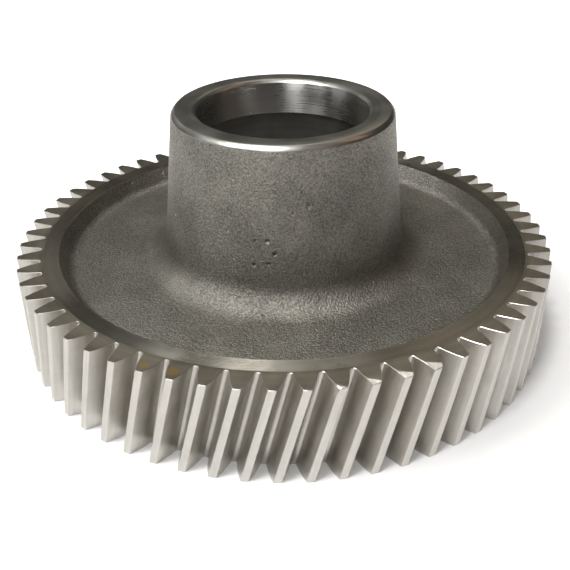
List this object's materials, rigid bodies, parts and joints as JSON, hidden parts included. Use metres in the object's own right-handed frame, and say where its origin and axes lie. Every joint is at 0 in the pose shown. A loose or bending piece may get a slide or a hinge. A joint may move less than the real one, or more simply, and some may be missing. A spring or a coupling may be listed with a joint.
{
  "type": "helical gear",
  "caption": "Right-hand helical gear forged in one piece with a long tapered hub on one side, a recessed web and a ground bearing bore.",
  "frame": {"origin": "centre of the underside of the rim, on the gear's own axis, in the plane on which the gear stands", "axes": "+Z along the gear's axis, from the rim towards the end of the long hub; a tooth is centred on +X at half the face width"},
  "size_m": [0.1946, 0.1946, 0.0835],
  "materials": {
    "gear_steel": "shot-blasted forged web and hub, faced rim, hobbed teeth and ground bore"
  },
  "bodies": {
    "root": {"helical_gear": "gear_steel"}
  },
  "joints": []
}
